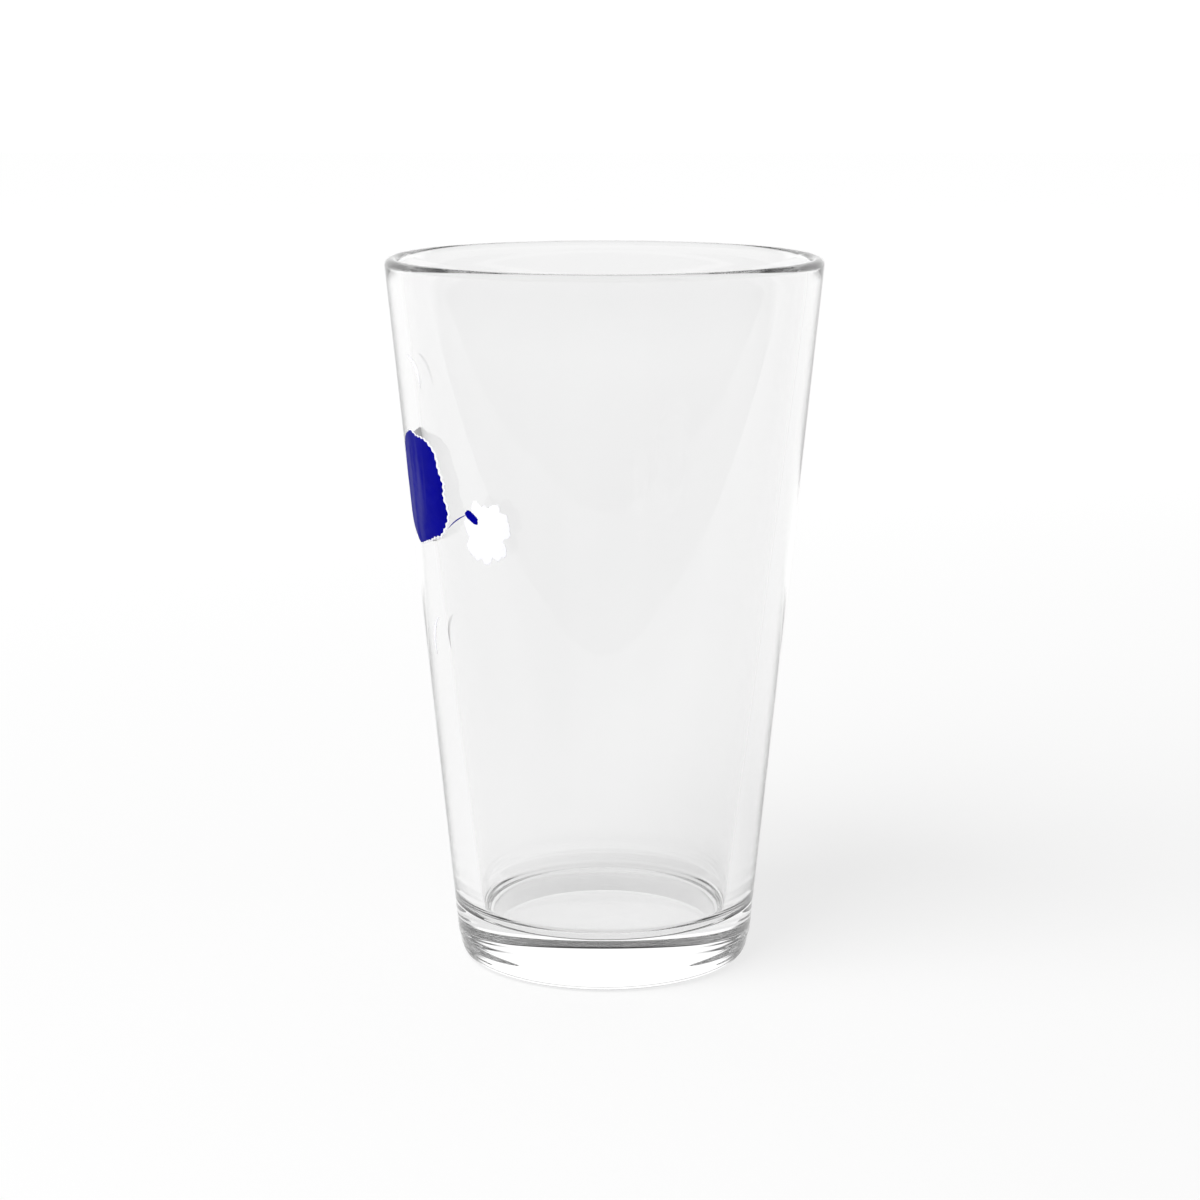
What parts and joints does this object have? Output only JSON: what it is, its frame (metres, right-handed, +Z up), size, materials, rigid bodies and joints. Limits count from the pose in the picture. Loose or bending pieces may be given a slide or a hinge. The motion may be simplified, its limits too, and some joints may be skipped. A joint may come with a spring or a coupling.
{
  "type": "pint glass",
  "caption": "Straight-sided tapered clear pint glass with a fully rounded rim, a thick base, a drawn-in heel band and abstract navy and white ink daubs on one side.",
  "frame": {"origin": "middle of the flat ring that the glass stands on", "axes": "+Z up along the glass's axis, -Y towards the front, -X on the side with the print"},
  "size_m": [0.0888, 0.0888, 0.146],
  "materials": {
    "clear_glass": "fire-polished clear soda-lime glass",
    "navy_ink": "semi-gloss cured ink",
    "white_ink": "semi-gloss cured ink"
  },
  "bodies": {
    "root": {"glass_body": "clear_glass", "daub_underlay": "white_ink", "daub_navy": "navy_ink", "patch_white": "white_ink", "drop_navy": "navy_ink", "stem_navy": "navy_ink", "upper_flick": "white_ink", "lower_flick": "white_ink"}
  },
  "joints": []
}
